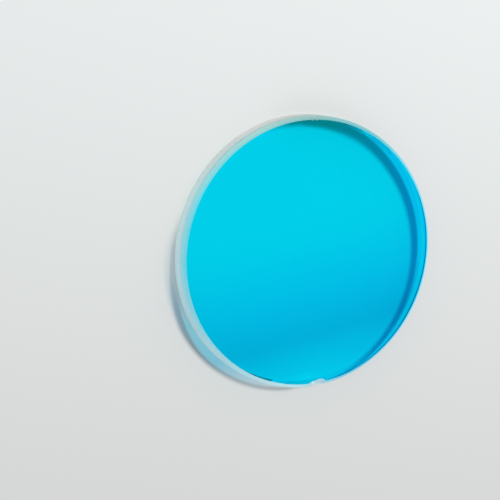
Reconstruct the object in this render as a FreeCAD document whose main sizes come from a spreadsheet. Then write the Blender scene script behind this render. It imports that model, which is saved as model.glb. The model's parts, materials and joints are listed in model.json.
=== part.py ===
import FreeCAD, Part
import os
import Sketcher

# Round optical filter: one disc of clear glass, cut and polished as a single piece.
# Both faces are flat and polished. The front face carries a cyan interference coating,
# which is thousandths of a millimetre thick and so has no solid of its own.
# The edge is a fine-ground cylinder with a narrow 45 degree bevel round each face.
# The front edge has one shell-shaped chip, with a deeper bite near one end of it.
# Lengths are in millimetres and angles in degrees. The origin is the centre of the
# back face, which the disc lies on, and +Z points out of the coated front face.

SIZES = [
    ("disc_diameter", 25.4, "across the ground edge"),
    ("disc_thickness", 2.3, "from the back face to the coated front face"),
    ("front_bevel", 0.35, "each leg of the bevel round the front face"),
    ("back_bevel", 0.35, "each leg of the bevel round the back face"),
    ("chip_angle", -87.5, "where the middle of the chip lies, from +X towards +Y"),
    ("chip_width", 1.95, "length of the chip along the sharp corner of the blank"),
    ("chip_depth", 0.57, "reach of the chip from that corner, inwards and downwards"),
    ("bite_shift", 0.5, "distance along the edge from the chip's middle to its bite"),
    ("bite_width", 1.38, "length of the bite along the same corner"),
    ("bite_depth", 0.67, "reach of the bite from that corner, inwards and downwards"),
]

# Heights closer than this are the same height.
SAME = 1e-6
# Least volume that a cut takes away, far below the smallest chip.
LEAST_CUT = 1e-4


def make_sheet(doc):
    """The driving dimensions, one named cell each."""
    sheet = doc.addObject("Spreadsheet::Sheet", "sizes")
    for row, (name, value, meaning) in enumerate(SIZES, start=1):
        sheet.set(f"A{row}", name)
        sheet.set(f"B{row}", str(value))
        sheet.set(f"C{row}", meaning)
        sheet.setAlias(f"B{row}", name)
    doc.recompute()
    return sheet


def base_plane(body, role):
    """One of the body's own base planes, found by its role."""
    return next(plane for plane in body.Origin.OriginFeatures if plane.Role == role)


def round_edge_at(feature, height):
    """The name of the round edge that lies flat at one height."""
    for number, edge in enumerate(feature.Shape.Edges, start=1):
        box = edge.BoundBox
        if abs(box.ZMin - height) < SAME and abs(box.ZMax - height) < SAME:
            return f"Edge{number}"
    raise RuntimeError(f"{feature.Name} has no round edge at height {height}")


def must_cut(doc, feature, base):
    """Stop if a cut left its base as it was."""
    doc.recompute()
    removed = base.Shape.Volume - feature.Shape.Volume
    if removed < LEAST_CUT:
        raise RuntimeError(f"{feature.Name} removed {removed} cubic millimetres")
    print(f"{feature.Name} removed {removed:.4f} cubic millimetres")


def blank_disc(doc, body):
    """The plain round blank, padded up from its outline on the back face."""
    outline = body.newObject("Sketcher::SketchObject", "outline")
    outline.AttachmentSupport = [(base_plane(body, "XY_Plane"), "")]
    outline.MapMode = "FlatFace"
    centre = FreeCAD.Vector(0, 0, 0)
    upwards = FreeCAD.Vector(0, 0, 1)
    circle = outline.addGeometry(Part.Circle(centre, upwards, 10), False)
    outline.addConstraint(Sketcher.Constraint("Coincident", circle, 3, -1, 1))
    across = outline.addConstraint(Sketcher.Constraint("Diameter", circle, 20))
    outline.renameConstraint(across, "across")
    outline.setExpression("Constraints.across", "sizes.disc_diameter")
    blank = body.newObject("PartDesign::Pad", "blank")
    blank.Profile = outline
    blank.setExpression("Length", "sizes.disc_thickness")
    doc.recompute()
    return blank


def bevel(doc, body, base, name, height):
    """A 45 degree bevel on the round edge at one height, sized by the cell of its name."""
    cut = body.newObject("PartDesign::Chamfer", name)
    cut.Base = (base, [round_edge_at(base, height)])
    cut.setExpression("Size", f"sizes.{name}")
    must_cut(doc, cut, base)
    return cut


def shell_hollow(doc, body, base, name, place, width, depth):
    """A shell-shaped hollow in the front corner of the blank, left by a broken flake.

    It is part of a sphere. The sphere meets the corner line over the width, and comes
    inwards along the front face and down the ground edge by the depth. Its centre then
    stands clear of the corner by (half width squared - depth squared) / (2 depth), both
    outwards and upwards. place is its angle round the disc.
    """
    clear = f"((({width}) / 2)^2 - ({depth})^2) / (2 * ({depth}))"
    out = f"(sizes.disc_diameter / 2 + {clear})"
    hollow = body.newObject("PartDesign::SubtractiveSphere", name)
    hollow.AttachmentSupport = [(base_plane(body, "XY_Plane"), "")]
    hollow.MapMode = "FlatFace"
    hollow.setExpression("Radius", f"sqrt((({width}) / 2)^2 + 2 * ({clear})^2)")
    hollow.setExpression("AttachmentOffset.Base.x", f"{out} * cos({place})")
    hollow.setExpression("AttachmentOffset.Base.y", f"{out} * sin({place})")
    hollow.setExpression("AttachmentOffset.Base.z", f"sizes.disc_thickness + {clear}")
    must_cut(doc, hollow, base)
    return hollow


def filter_disc(doc, sheet):
    """The whole filter, from its blank to the chip in its front edge."""
    body = doc.addObject("PartDesign::Body", "filter_disc")
    body.Label = "filter_disc"
    blank = blank_disc(doc, body)
    front = bevel(doc, body, blank, "front_bevel", sheet.disc_thickness)
    back = bevel(doc, body, front, "back_bevel", 0)
    chip = shell_hollow(
        doc, body, back, "chip", "sizes.chip_angle", "sizes.chip_width", "sizes.chip_depth"
    )
    # The bite's distance along the edge, as an angle round the disc.
    turn = "(sizes.bite_shift / (sizes.disc_diameter / 2)) * 180 / pi"
    bite = shell_hollow(
        doc, body, chip, "bite", f"(sizes.chip_angle + {turn})", "sizes.bite_width", "sizes.bite_depth"
    )
    body.Tip = bite
    doc.recompute()
    return body


def check(doc, bodies):
    """Stop on a failed object, or on a shape that is not one good solid."""
    for thing in doc.Objects:
        if "Invalid" in thing.State or "Error" in thing.State:
            raise RuntimeError(f"{thing.Name} failed: {thing.State}")
    for body in bodies:
        if body.Shape.isNull() or not body.Shape.isValid() or len(body.Shape.Solids) != 1:
            raise RuntimeError(f"{body.Label} is not one good solid")


def main():
    doc = FreeCAD.newDocument("optical_filter")
    sheet = make_sheet(doc)
    bodies = [filter_disc(doc, sheet)]
    check(doc, bodies)
    os.makedirs("parts", exist_ok=True)
    for body in bodies:
        body.Shape.exportStep(f"parts/{body.Label}.step")
        box = body.Shape.optimalBoundingBox(False, False)
        print(f"{body.Label}: {body.Shape.Volume:.2f} cubic millimetres")
        print(f"  {box.XLength:.3f} x {box.YLength:.3f} x {box.ZLength:.3f} millimetres")


main()
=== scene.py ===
# %% [markdown]
# A cyan optical filter on a pale table.
# The object is one small disc of glass. It has two polished faces, a fine-ground edge,
# a narrow bevel round each face and a chip in its front edge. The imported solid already
# has that shape, but with few facets. Here it is modelled again with fine ones, because
# glass shows every facet in what it bends and mirrors.

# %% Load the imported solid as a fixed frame
import json
import math

import bpy
from mathutils import Matrix, Vector


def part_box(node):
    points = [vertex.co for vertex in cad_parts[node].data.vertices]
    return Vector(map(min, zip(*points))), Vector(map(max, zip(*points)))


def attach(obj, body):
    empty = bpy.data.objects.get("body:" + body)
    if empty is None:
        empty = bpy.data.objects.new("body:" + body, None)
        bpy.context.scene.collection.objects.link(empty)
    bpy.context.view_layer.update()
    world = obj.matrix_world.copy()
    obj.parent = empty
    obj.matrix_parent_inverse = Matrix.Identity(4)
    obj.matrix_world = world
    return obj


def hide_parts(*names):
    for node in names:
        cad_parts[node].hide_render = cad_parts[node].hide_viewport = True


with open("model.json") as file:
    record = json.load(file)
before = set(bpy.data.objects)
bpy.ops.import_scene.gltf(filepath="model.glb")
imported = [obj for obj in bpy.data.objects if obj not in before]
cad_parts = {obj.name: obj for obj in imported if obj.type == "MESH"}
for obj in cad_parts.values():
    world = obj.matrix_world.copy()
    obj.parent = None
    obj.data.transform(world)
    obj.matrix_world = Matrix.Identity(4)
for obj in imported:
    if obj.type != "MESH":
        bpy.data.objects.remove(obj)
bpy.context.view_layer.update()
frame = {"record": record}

# %% [markdown]
# Every size comes from the frame where the frame has it. The box of the solid gives the
# radius and the thickness. The record's mount on the ground edge gives the height of the
# straight wall, and what is left over above and below it is the two bevels.

# %% Read the sizes from the frame
MM = 0.001
low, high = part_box("filter_disc")
radius = (high[0] - low[0]) / 2
thickness = high[2] - low[2]
edge_mount = next(m for m in frame["record"]["mounts"] if m["name"] == "ground_edge")
wall = edge_mount["dims"]["length_mm"] * MM
bevel = (thickness - wall) / 2
print(f"radius {radius / MM:.2f}, thickness {thickness / MM:.2f}, bevels {bevel / MM:.2f} mm")


# %% [markdown]
# Most of Blender's modelling operators act on all that is selected. Loading the frame
# leaves the solid selected, so each step first clears the selection and then picks what
# it needs by its place.

# %% Two helpers for selecting
def select_only(thing):
    """Select one object and nothing else, and make it the active one."""
    bpy.ops.object.select_all(action="DESELECT")
    thing.select_set(True)
    bpy.context.view_layer.objects.active = thing


def pick_edges(thing, wanted):
    """In edge mode, select the edges for which wanted(first end, second end) is true."""
    select_only(thing)
    bpy.ops.object.mode_set(mode="EDIT")
    bpy.ops.mesh.select_mode(type="EDGE")
    bpy.ops.mesh.select_all(action="DESELECT")
    bpy.ops.object.mode_set(mode="OBJECT")
    places = [point.co for point in thing.data.vertices]
    for edge in thing.data.edges:
        edge.select = wanted(*[places[i] for i in edge.vertices])
    bpy.ops.object.mode_set(mode="EDIT")


# %% [markdown]
# The real disc was cut round, ground along its edge and then bevelled, and the model
# follows the same order. It starts as a cylinder with many sides. Its two round corners
# are then bevelled in edit mode. A bevel of one segment is flat, as a ground one is.

# %% Cut the round blank and bevel both corners
SIDES = 360
# Places closer than this, in metres, are the same place.
HAIR = 1e-6

bpy.ops.object.select_all(action="DESELECT")
middle = (0, 0, thickness / 2)
bpy.ops.mesh.primitive_cylinder_add(vertices=SIDES, radius=radius, depth=thickness, location=middle)
disc = bpy.context.active_object
disc.name = "coated_glass_disc"
disc.data.name = "coated_glass_disc"
bpy.ops.object.transform_apply(location=True, rotation=True, scale=True)
for height in (0, thickness):
    pick_edges(disc, lambda a, b: abs(a.z - height) < HAIR and abs(b.z - height) < HAIR)
    bpy.ops.mesh.bevel(offset=bevel, offset_type="OFFSET", segments=1, affect="EDGES")
    bpy.ops.object.mode_set(mode="OBJECT")
print(f"blank has {len(disc.data.polygons)} faces")


# %% [markdown]
# Every flaw in the edge is cut with a ball. The ball stands at its own angle round the
# disc, and the Boolean modifier takes its space out of the glass.

# %% Two helpers for flaws in the edge
def ball_at(name, angle, out, up, size, segments, rings):
    """A ball at an angle round the disc, out from its axis and up from its back face."""
    turn = math.radians(angle)
    centre = (out * math.cos(turn), out * math.sin(turn), up)
    bpy.ops.object.select_all(action="DESELECT")
    bpy.ops.mesh.primitive_uv_sphere_add(
        segments=segments, ring_count=rings, radius=size, location=centre
    )
    ball = bpy.context.active_object
    ball.name = name
    return ball


def cut_away(thing, cutter):
    """Take the cutter's space out of the thing, and remove the cutter."""
    select_only(thing)
    cut = thing.modifiers.new("cut", "BOOLEAN")
    cut.operation = "DIFFERENCE"
    cut.solver = "EXACT"
    cut.object = cutter
    bpy.ops.object.modifier_apply(modifier=cut.name)
    bpy.data.objects.remove(cutter, do_unlink=True)


# %% [markdown]
# Glass breaks in shells. A flake that leaves a corner of a disc leaves a shallow round
# hollow with faint ripples in it, as a thumb leaves in clay. Each hollow is cut with a
# ball whose centre stands clear of the corner, and the Displace modifier gives the ball
# its ripples first. The chip is one wide hollow with a deeper bite near one end. Both
# have the sizes and places that the solid's have.

# %% Where the chip is and how deep it goes
CHIP_ANGLE = -87.5
CHIP_WIDTH = 1.95 * MM
CHIP_DEPTH = 0.57 * MM
BITE_SHIFT = 0.5 * MM
BITE_WIDTH = 1.38 * MM
BITE_DEPTH = 0.67 * MM
RIPPLE_HEIGHT = 0.012 * MM
RIPPLE_LENGTH = 0.16 * MM
RIPPLE_WAVER = 2.0


def flake_cutter(name, angle, width, depth):
    """A rippled ball that cuts one shell-shaped hollow in the front corner."""
    clear = ((width / 2) ** 2 - depth ** 2) / (2 * depth)
    size = math.sqrt((width / 2) ** 2 + 2 * clear ** 2)
    ball = ball_at(name, angle, radius + clear, thickness + clear, size, segments=96, rings=64)
    rings = bpy.data.textures.new(name + "_ripples", "WOOD")
    rings.wood_type = "RINGNOISE"
    rings.noise_scale = RIPPLE_LENGTH
    rings.turbulence = RIPPLE_WAVER
    swell = ball.modifiers.new("ripples", "DISPLACE")
    swell.texture = rings
    swell.texture_coords = "GLOBAL"
    swell.strength = RIPPLE_HEIGHT
    bpy.ops.object.modifier_apply(modifier=swell.name)
    return ball


# %% Break the chip out of the front edge
bite_angle = CHIP_ANGLE + math.degrees(BITE_SHIFT / radius)
for name, angle, width, depth in (
    ("chip_cutter", CHIP_ANGLE, CHIP_WIDTH, CHIP_DEPTH),
    ("bite_cutter", bite_angle, BITE_WIDTH, BITE_DEPTH),
):
    cut_away(disc, flake_cutter(name, angle, width, depth))
print(f"chipped disc has {len(disc.data.polygons)} faces")

# %% [markdown]
# At the top of the picture the front edge also has two nicks no wider than a hair, from
# handling. They are too small for the solid. Each is cut with a small plain ball whose
# centre is just outside the front face's own edge.

# %% Nick the front edge twice
NICK_ANGLES = (89.4, 87.6)
NICK_WIDTH = 0.24 * MM
NICK_REACH = 0.07 * MM
# Two faces that meet at less than this angle are shaded as one smooth surface.
SMOOTH_UNDER = 25

nick_out = radius - bevel + NICK_WIDTH / 2 - NICK_REACH
for number, angle in enumerate(NICK_ANGLES):
    name = f"nick_cutter_{number}"
    nick_cutter = ball_at(name, angle, nick_out, thickness, NICK_WIDTH / 2, segments=32, rings=16)
    cut_away(disc, nick_cutter)
select_only(disc)
bpy.ops.object.shade_smooth_by_angle(angle=math.radians(SMOOTH_UNDER))
print(f"nicked disc has {len(disc.data.polygons)} faces")

# %% [markdown]
# The finishes come next. Each is the Principled shader with its transmission turned up,
# so that the eye sees real glass: it bends what lies behind it and mirrors what is in
# front. Light that bends on its way to the table is slow to find and leaves specks. So
# the rays that carry light down to the table take a short cut: for them each finish is
# a plain tinted filter. The Light Path node tells the two kinds of ray apart.

# %% Two helpers for finishes
GLASS_IOR = 1.52


def new_finish(name):
    """A material with nodes, and its Principled shader."""
    finish = bpy.data.materials.new(name)
    finish.use_nodes = True
    return finish, finish.node_tree.nodes["Principled BSDF"]


def new_glass(name, colour, clearness, roughness, passes):
    """A glass finish, its shader, and the colour socket of its short cut for light."""
    finish, shader = new_finish(name)
    shader.inputs["Base Color"].default_value = (*colour, 1)
    shader.inputs["Transmission Weight"].default_value = clearness
    shader.inputs["Roughness"].default_value = roughness
    shader.inputs["IOR"].default_value = GLASS_IOR
    tree = finish.node_tree
    rays = tree.nodes.new("ShaderNodeLightPath")
    straight = tree.nodes.new("ShaderNodeBsdfTransparent")
    straight.inputs["Color"].default_value = (*passes, 1)
    for_lamp = tree.nodes.new("ShaderNodeMixShader")
    for_table = tree.nodes.new("ShaderNodeMixShader")
    for_table.name = "short cut"
    tree.links.new(rays.outputs["Is Diffuse Ray"], for_table.inputs["Fac"])
    tree.links.new(shader.outputs["BSDF"], for_table.inputs[1])
    tree.links.new(straight.outputs["BSDF"], for_table.inputs[2])
    tree.links.new(rays.outputs["Is Shadow Ray"], for_lamp.inputs["Fac"])
    tree.links.new(for_table.outputs["Shader"], for_lamp.inputs[1])
    tree.links.new(straight.outputs["BSDF"], for_lamp.inputs[2])
    tree.links.new(for_lamp.outputs["Shader"], tree.nodes["Material Output"].inputs["Surface"])
    return finish, shader, straight.inputs["Color"]


# %% [markdown]
# Most of these finishes change over the disc. The helpers below set a colour by a ramp:
# over a distance, or over the direction from the middle of the disc. A radial gradient
# turns that direction into a number from 0 to 1, so a table by angle becomes a ramp. The
# angles run from -180 to 180 degrees, with 0 along +X and 90 along +Y.

# %% Helpers for colours that change over the disc
def ramp(tree, value, stops):
    """The colour output of a ramp over value; a stop is a position and a colour or grey."""
    node = tree.nodes.new("ShaderNodeValToRGB")
    for position, _ in stops[1:-1]:
        node.color_ramp.elements.new(position)
    for element, (position, colour) in zip(node.color_ramp.elements, stops):
        element.position = position
        element.color = (*colour, 1) if isinstance(colour, tuple) else (colour, colour, colour, 1)
    tree.links.new(value, node.inputs["Fac"])
    return node.outputs["Color"]


def mixed(tree, factor, first, second):
    """The output of a node that mixes two colours; each is an output or a colour."""
    mix = tree.nodes.new("ShaderNodeMix")
    mix.data_type = "RGBA"
    tree.links.new(factor, mix.inputs["Factor"])
    for colour, socket in ((first, mix.inputs["A"]), (second, mix.inputs["B"])):
        if isinstance(colour, tuple):
            socket.default_value = (*colour, 1)
        else:
            tree.links.new(colour, socket)
    return mix.outputs["Result"]


def scaled(tree, value, times, plus):
    """The output of a node that multiplies an output and adds; plus may be an output."""
    node = tree.nodes.new("ShaderNodeMath")
    node.operation = "MULTIPLY_ADD"
    node.inputs[1].default_value = times
    tree.links.new(value, node.inputs[0])
    if isinstance(plus, (int, float)):
        node.inputs[2].default_value = plus
    else:
        tree.links.new(plus, node.inputs[2])
    return node.outputs["Value"]


def place_along(tree, axis):
    """The output of a node that gives a point's place along X, Y or Z, in metres."""
    place = tree.nodes.new("ShaderNodeTexCoord")
    parts = tree.nodes.new("ShaderNodeSeparateXYZ")
    tree.links.new(place.outputs["Object"], parts.inputs["Vector"])
    return parts.outputs[axis]


def way_round(tree):
    """The output of a node that turns the direction from the middle into 0 to 1."""
    place = tree.nodes.new("ShaderNodeTexCoord")
    radial = tree.nodes.new("ShaderNodeTexGradient")
    radial.gradient_type = "RADIAL"
    tree.links.new(place.outputs["Object"], radial.inputs["Vector"])
    return radial.outputs["Fac"]


def by_angle(table):
    """A table by angle in degrees as the stops of a ramp over way_round."""
    return [(0.5 + angle / 360, value) for angle, value in table]


# %% [markdown]
# The coating is a stack of films that passes blue and green and sends red back. Over the
# face its colour carries painted shade: deepest in a soft band across the lower side, and
# painted lighter again at its foot. A gradient on Object coordinates, turned by a Mapping
# node, places that painted shade. It runs upwards from 0 at the foot. Two ramps read it:
# a deep one for the eye, with the painted shade in it, and a pale one for the light on
# its way to the table.

# %% The coated front face
SHADE_GRADIENT_TURN = -100
SHADE_GRADIENT_STOPS = (0.0, 0.2, 0.36, 0.58)
# The deep colours are the coating's cyan, with painted shade in a band and painted light at the foot.
DEEP_WITH_PAINTED_SHADE = ((0.0, 0.56, 0.94), (0.0, 0.45, 0.66), (0.0, 0.58, 0.90), (0.0, 0.48, 0.87))
PALE = ((0.95, 0.95, 0.97), (0.05, 0.66, 0.93), (0.10, 0.70, 0.88), (0.92, 0.96, 0.93))
COATING_GLOSS = (0.0, 0.45, 0.5)

coated, shader, passing = new_glass(
    "cyan_coating", DEEP_WITH_PAINTED_SHADE[-1], clearness=1.0, roughness=0.0, passes=PALE[-1]
)
shader.inputs["Specular Tint"].default_value = (*COATING_GLOSS, 1)
tree = coated.node_tree
place = tree.nodes.new("ShaderNodeTexCoord")
turned = tree.nodes.new("ShaderNodeMapping")
turned.inputs["Rotation"].default_value = (0, 0, math.radians(SHADE_GRADIENT_TURN))
turned.inputs["Scale"].default_value = (1 / (2 * radius),) * 3
turned.inputs["Location"].default_value = (0.5, 0, 0)
# This gradient places the painted shade and light over the face.
shade_gradient = tree.nodes.new("ShaderNodeTexGradient")
tree.links.new(place.outputs["Object"], turned.inputs["Vector"])
tree.links.new(turned.outputs["Vector"], shade_gradient.inputs["Vector"])
for colours, socket in ((DEEP_WITH_PAINTED_SHADE, shader.inputs["Base Color"]), (PALE, passing)):
    tree.links.new(ramp(tree, shade_gradient.outputs["Fac"], list(zip(SHADE_GRADIENT_STOPS, colours))), socket)
print("coated face: deep and pale colours over", len(SHADE_GRADIENT_STOPS), "stops")

# %% [markdown]
# The back face is polished and clear. The narrow bevel round it is fine-ground like the
# edge, but the picture shows no grey there: seen through the disc, the bevel is nearly as
# bright as the table, so it is drawn clear too, and a little blue. On the left it lets
# less light through, which draws the thin dark line where the disc meets the table.

# %% The clear back face and the back bevel
OPEN, DIM = (0.98, 0.99, 0.99), (0.45, 0.54, 0.60)
UNDER = ((-180, DIM), (-165, DIM), (-145, OPEN), (160, OPEN), (175, DIM), (180, DIM))
FACE_TONE, BEVEL_TONE = (0.99, 1.0, 1.0), (0.72, 0.80, 0.90)

clear_back, _, _ = new_glass("polished_glass", FACE_TONE, clearness=1.0, roughness=0.0, passes=OPEN)
low_bevel, _, passing = new_glass("clear_bevel", BEVEL_TONE, clearness=1.0, roughness=0.0, passes=OPEN)
tree = low_bevel.node_tree
tree.links.new(ramp(tree, way_round(tree), by_angle(UNDER)), passing)
print("back bevel: dimmer over the left side, in", len(UNDER), "stops")

# %% [markdown]
# A ground edge scatters light both ways, so it looks white from outside. The broken glass
# of the chip is clearer, and looks pale and a little cyan.

# %% The ground edge and the broken glass
WHITE = (1, 1, 1)
GROUND_CLEARNESS = 0.3
BROKEN_TONE, BROKEN_PASSES = (0.8, 0.97, 1.0), (0.85, 0.90, 0.93)

ground, ground_shader, ground_passing = new_glass(
    "ground_glass", WHITE, clearness=GROUND_CLEARNESS, roughness=0.7, passes=WHITE
)
broken, _, _ = new_glass(
    "broken_glass", BROKEN_TONE, clearness=0.9, roughness=0.8, passes=BROKEN_PASSES
)
print("finishes so far:", [finish.name for finish in (coated, clear_back, low_bevel, ground, broken)])

# %% [markdown]
# The ground edge does not pass the same light everywhere. A line round it is nearly
# closed. It throws the dark arc inside the disc on the right and the dark rim of the
# shadow at the lower left. The disc in the picture leans a little and this one lies flat,
# so the line changes in height and in darkness on its way round, to put both where the
# picture has them. The height of a point in millimetres plus the line's sink at that
# angle tells whether the point lies on the line: LINE holds 0 where it does and 1 where
# it doesn't. CLOSED holds what passes the line, and OPEN_EDGE what passes elsewhere.

# %% How much light passes the ground edge
LINE = ((0, 1), (1.2, 1), (1.36, 0), (2.36, 0), (2.6, 1), (4.1, 1))
SINK = (
    (-180, 1.7), (-170, 1.35), (-160, 0.9), (-150, 0.4), (-140, 0),
    (30, 0), (60, 0.35), (95, 0.35), (120, 0.8), (180, 1.7),
)
CLEAR, CLEARER, BLUISH = (0.85, 0.90, 0.93), (0.98, 1.0, 1.0), (0.85, 0.80, 0.99)
GREY, BLUE, TEAL = (0.15, 0.21, 0.25), (0.04, 0.09, 0.38), (0.04, 0.12, 0.06)
HAZE, DUSK = (0.5, 0.58, 0.65), (0.1, 0.2, 0.15)
CLOSED = (
    (-180, HAZE), (-160, (0.2, 0.34, 0.46)), (-140, GREY), (-125, (0.42, 0.45, 0.46)),
    (-110, (0.5, 0.5, 0.5)), (-80, (0.4, 0.42, 0.45)), (-60, BLUE), (20, BLUE),
    (75, TEAL), (92, TEAL), (107, CLEAR), (130, CLEARER), (165, CLEARER), (180, HAZE),
)
OPEN_EDGE = (
    (-180, CLEAR), (-80, CLEAR), (-60, (0.5, 0.5, 0.95)), (-30, (0.6, 0.62, 0.97)),
    (0, BLUISH), (45, BLUISH), (60, (0.4, 0.42, 0.5)), (75, DUSK), (92, DUSK),
    (107, CLEAR), (130, CLEARER), (165, CLEARER), (180, CLEAR),
)

tree = ground.node_tree
height = place_along(tree, "Z")
direction = way_round(tree)
reach = LINE[-1][0]
sink = ramp(tree, direction, by_angle((angle, depth / reach) for angle, depth in SINK))
level = scaled(tree, height, 1 / (reach * MM), sink)
opening = ramp(tree, level, [(up / reach, share) for up, share in LINE])
closed, open_edge = (ramp(tree, direction, by_angle(table)) for table in (CLOSED, OPEN_EDGE))
to_table = mixed(tree, opening, closed, open_edge)
tree.links.new(to_table, ground_passing)
print("ground edge: the line sinks by up to", max(depth for _, depth in SINK), "mm")

# %% [markdown]
# The ground glass of the edge is white. Outside, it carries painted light: it is palest at
# the table, has a painted cyan glow next to the coated face, and has painted light and shade
# that differ from side to side. The wall table holds its colours at half its height and
# below, and the rim table those at the top. Its dusty ground surface also has a sheen,
# made strongest on the side away from the lamp, which paints light on that side. Seen
# from inside, the same surface is plain white ground glass: the Geometry node's
# Backfacing output picks those rays out.

# %% Colour the ground edge
ICE, AQUA = (0.70, 0.93, 1.0), (0.10, 0.80, 1.0)
# The wall's colours by angle: white ground glass with a painted cyan glow, and painted shade from 60
# to 120 degrees.
WALL_PAINTED_LIGHT = (
    (-180, ICE), (-140, (0.8, 0.96, 1.0)), (-90, (0.9, 1.0, 1.0)), (0, (0.8, 0.92, 1.0)),
    (60, (0.82, 0.88, 0.88)), (100, (0.92, 0.84, 0.78)), (120, (0.95, 0.95, 0.9)),
    (150, (0.78, 1.0, 1.0)), (180, ICE),
)
# The rim's colours by angle: a painted cyan glow of the light from the coated face, stronger or weaker
# by side, with painted shade from 60 to 120 degrees.
RIM_PAINTED_LIGHT = (
    (-180, AQUA), (-140, (0.52, 0.92, 1.0)), (-95, (0.45, 0.95, 1.0)),
    (-75, (0.0, 0.70, 0.95)), (0, (0.0, 0.80, 0.98)), (60, (0.08, 0.55, 0.62)),
    (90, (0.25, 0.56, 0.54)), (120, (0.22, 0.66, 0.66)), (150, (0.10, 0.80, 0.94)),
    (180, AQUA),
)
# Sheen weight by angle: the dusty sheen of ground glass, made strongest away from the lamp to paint
# light on that side.
SHEEN_AND_PAINTED_LIGHT = ((-180, 0.4), (-140, 1), (-105, 0.9), (-80, 0.2), (-40, 0), (130, 0), (180, 0.4))
EDGE_GLOSS = (0.4, 0.9, 1.0)

facing = tree.nodes.new("ShaderNodeNewGeometry")
inside = facing.outputs["Backfacing"]
glow = scaled(tree, height, 2 / thickness, -1)
wall_painted_light, rim_painted_light = (ramp(tree, direction, by_angle(table)) for table in (WALL_PAINTED_LIGHT, RIM_PAINTED_LIGHT))
outside_painted_light = mixed(tree, glow, wall_painted_light, rim_painted_light)
clearness = scaled(tree, inside, -GROUND_CLEARNESS, GROUND_CLEARNESS)
for value, socket in (
    (mixed(tree, inside, outside_painted_light, WHITE), "Base Color"),
    (clearness, "Transmission Weight"),
    (ramp(tree, direction, by_angle(SHEEN_AND_PAINTED_LIGHT)), "Sheen Weight"),
):
    tree.links.new(value, ground_shader.inputs[socket])
ground_shader.inputs["Specular Tint"].default_value = (*EDGE_GLOSS, 1)
print("ground edge:", len(tree.nodes), "nodes")

# %% [markdown]
# On the right the picture shows the inside of the edge through the coated face: a bright
# band with a dark hairline at its rim. White ground glass is too dark for that band. So
# on that side the edge lets the eye's rays straight through as well, tinted blue, with a
# painted dark hairline of shade half way up. Rays that carry light still get what CLOSED
# and OPEN_EDGE say.

# %% Let the eye through the edge on the right
WINDOW = ((-180, 0), (-85, 0), (-75, 1), (40, 1), (55, 0), (180, 0))
# Where the hairline starts and ends, as shares of the thickness, with soft flanks.
HAIRLINE = (0.39, 0.43, 0.53, 0.57)
# The hairline's tint is painted shade on what the eye sees through the edge.
BAND_TINT, HAIRLINE_PAINTED_SHADE = (0.6, 0.76, 0.93), (0.08, 0.26, 0.55)
BLACK = (0, 0, 0)

rays = tree.nodes.new("ShaderNodeLightPath")
window = mixed(tree, ramp(tree, direction, by_angle(WINDOW)), BLACK, inside)
straight_share = mixed(tree, rays.outputs["Is Diffuse Ray"], window, WHITE)
tree.links.new(straight_share, tree.nodes["short cut"].inputs["Fac"])
way_up = scaled(tree, height, 1 / thickness, 0)
tints = (BAND_TINT, HAIRLINE_PAINTED_SHADE, HAIRLINE_PAINTED_SHADE, BAND_TINT)
to_eye = ramp(tree, way_up, list(zip(HAIRLINE, tints)))
but_lamp = mixed(tree, rays.outputs["Is Shadow Ray"], to_eye, to_table)
tree.links.new(mixed(tree, rays.outputs["Is Diffuse Ray"], but_lamp, to_table), ground_passing)
print("edge is open to the eye from", WINDOW[2][0], "to", WINDOW[3][0], "degrees")

# %% [markdown]
# Each face of the mesh then gets the finish of the surface that it lies on. A face of
# the front or back is level at that height, one of the wall is a full radius out, and
# one of a bevel lies on its cone. The front bevel is ground like the wall. What is left
# is the inside of a hollow.

# %% Give each face its finish
FINISHES = (coated, clear_back, low_bevel, ground, broken)
COATED, CLEAR_BACK, LOW_BEVEL, GROUND, BROKEN = range(len(FINISHES))
# A face is level if its normal points up or down by at least this much.
LEVEL = 0.999

for finish in FINISHES:
    disc.data.materials.append(finish)


def finish_of(face):
    """The number of the finish that a face of the disc has."""
    out = math.hypot(face.center.x, face.center.y)
    up = face.center.z
    slack = radius * (1 - math.cos(math.pi / SIDES)) + HAIR
    level = abs(face.normal.z) > LEVEL
    cone = radius - bevel
    if level and abs(up - thickness) < HAIR:
        return COATED
    if level and abs(up) < HAIR:
        return CLEAR_BACK
    if abs((out - cone) - up) < 2 * slack:
        return LOW_BEVEL
    if abs(out - radius) < slack or abs((out - cone) - (thickness - up)) < 2 * slack:
        return GROUND
    return BROKEN


counts = [0] * len(FINISHES)
for face in disc.data.polygons:
    face.material_index = finish_of(face)
    counts[face.material_index] += 1
print("faces that are coated, clear, low bevel, ground, broken:", counts)

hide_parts("filter_disc")
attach(disc, "root")

# %% [markdown]
# The table is plain and pale. It lies just under the disc, because two surfaces at one
# height would flicker. The camera sees it a little darker than it is for other rays, as
# a bright surface looks in a picture that is exposed for a coloured glass. What it sees
# has painted shade below the disc in the picture and painted light above it.

# %% The table
TABLE_HALF = 0.6
TABLE_DROP = 0.02 * MM
# Painted shade below the disc and painted light above it, for the camera only.
SEEN_PAINTED_SHADE, SEEN_PAINTED_LIGHT = (0.66, 0.67, 0.66), (0.81, 0.83, 0.83)
SLOPE_HALF = 40 * MM
LIGHTING = (0.95, 0.96, 0.96)

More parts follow.
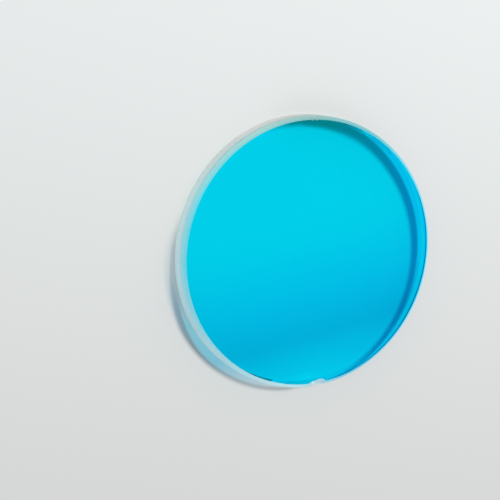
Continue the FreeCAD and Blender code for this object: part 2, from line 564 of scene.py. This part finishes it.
bpy.ops.object.select_all(action="DESELECT")
bpy.ops.mesh.primitive_plane_add(size=2 * TABLE_HALF, location=(0, 0, -TABLE_DROP))
table = bpy.context.active_object
table.name = "table"
tabletop, shader = new_finish("pale_table")
shader.inputs["Roughness"].default_value = 1.0
shader.inputs["Specular IOR Level"].default_value = 0.0
tree = tabletop.node_tree
slope = tree.nodes.new("ShaderNodeMapRange")
slope.inputs["From Min"].default_value = -SLOPE_HALF
slope.inputs["From Max"].default_value = SLOPE_HALF
slope.interpolation_type = "SMOOTHSTEP"
tree.links.new(place_along(tree, "Y"), slope.inputs["Value"])
seen = ramp(tree, slope.outputs["Result"], ((0, SEEN_PAINTED_SHADE), (1, SEEN_PAINTED_LIGHT)))
rays = tree.nodes.new("ShaderNodeLightPath")
tone = mixed(tree, rays.outputs["Is Camera Ray"], LIGHTING, seen)
tree.links.new(tone, shader.inputs["Base Color"])
table.data.materials.append(tabletop)
print(f"table: {2 * TABLE_HALF} m across, {TABLE_DROP / MM} mm under the disc")

# %% [markdown]
# The light in the picture comes from the upper right: the shadow lies to the lower
# left. One soft lamp stands there. It is large enough to blur the edge of the shadow
# under the disc.

# %% The lamp
LAMP_ANGLE = 38
LAMP_HEIGHT = 62.5
LAMP_AWAY = 0.6
LAMP_SIZE = 0.1
LAMP_POWER = 2.6

turn, rise = math.radians(LAMP_ANGLE), math.radians(LAMP_HEIGHT)
towards = Vector((math.cos(turn) * math.cos(rise), math.sin(turn) * math.cos(rise), math.sin(rise)))
lamp_data = bpy.data.lights.new("soft_lamp", "AREA")
lamp_data.size = LAMP_SIZE
lamp_data.energy = LAMP_POWER
lamp = bpy.data.objects.new("soft_lamp", lamp_data)
lamp.location = towards * LAMP_AWAY
lamp.rotation_euler = towards.to_track_quat("Z", "Y").to_euler()
bpy.context.collection.objects.link(lamp)
print(f"lamp: {LAMP_AWAY} m away, {LAMP_HEIGHT} degrees above the table")

# %% [markdown]
# The sky round the table fills the shadows. Where the camera sees it, above the edge of
# the table, it is brighter than what it gives as light.

# %% The sky
SKY_TONE = (0.97, 1.0, 1.0)
SKY_LIGHT = 0.39
SKY_SEEN = 0.8

world = bpy.data.worlds.new("pale_sky")
bpy.context.scene.world = world
world.use_nodes = True
tree = world.node_tree
sky = tree.nodes["Background"]
rays = tree.nodes.new("ShaderNodeLightPath")
strength = tree.nodes.new("ShaderNodeMix")
strength.data_type = "FLOAT"
strength.inputs["A"].default_value = SKY_LIGHT
strength.inputs["B"].default_value = SKY_SEEN
sky.inputs["Color"].default_value = (*SKY_TONE, 1)
tree.links.new(rays.outputs["Is Camera Ray"], strength.inputs["Factor"])
tree.links.new(strength.outputs["Result"], sky.inputs["Strength"])
print(f"sky: {SKY_LIGHT} as light, {SKY_SEEN} where it is seen")

# %% [markdown]
# The camera looks down on the disc from its left, a little under thirty degrees off the
# straight-down view. Its place was worked out from the outline of the front face in the
# picture. EYE and AIM are measured from the centre of the front face.

# %% The camera
EYE = Vector((-61.379, 24.883, 121.257)) * MM
AIM = Vector((-6.171, 0.819, 0)) * MM
LENS = 108
SENSOR_WIDTH = 36
NEAREST_SEEN = 0.01

face_centre = Vector((0, 0, thickness))
camera_data = bpy.data.cameras.new("camera")
camera_data.lens = LENS
camera_data.sensor_width = SENSOR_WIDTH
camera_data.clip_start = NEAREST_SEEN
camera = bpy.data.objects.new("camera", camera_data)
bpy.context.collection.objects.link(camera)
forward = (AIM - EYE).normalized()
right = forward.cross(Vector((0, 1, 0))).normalized()
upward = right.cross(forward)
camera.matrix_world = Matrix((
    (right.x, upward.x, -forward.x, face_centre.x + EYE.x),
    (right.y, upward.y, -forward.y, face_centre.y + EYE.y),
    (right.z, upward.z, -forward.z, face_centre.z + EYE.z),
    (0, 0, 0, 1),
))
bpy.context.scene.camera = camera
bpy.context.scene.view_settings.view_transform = "Standard"
print(f"camera: {LENS} mm lens, {(AIM - EYE).length / MM:.0f} mm from its aim")
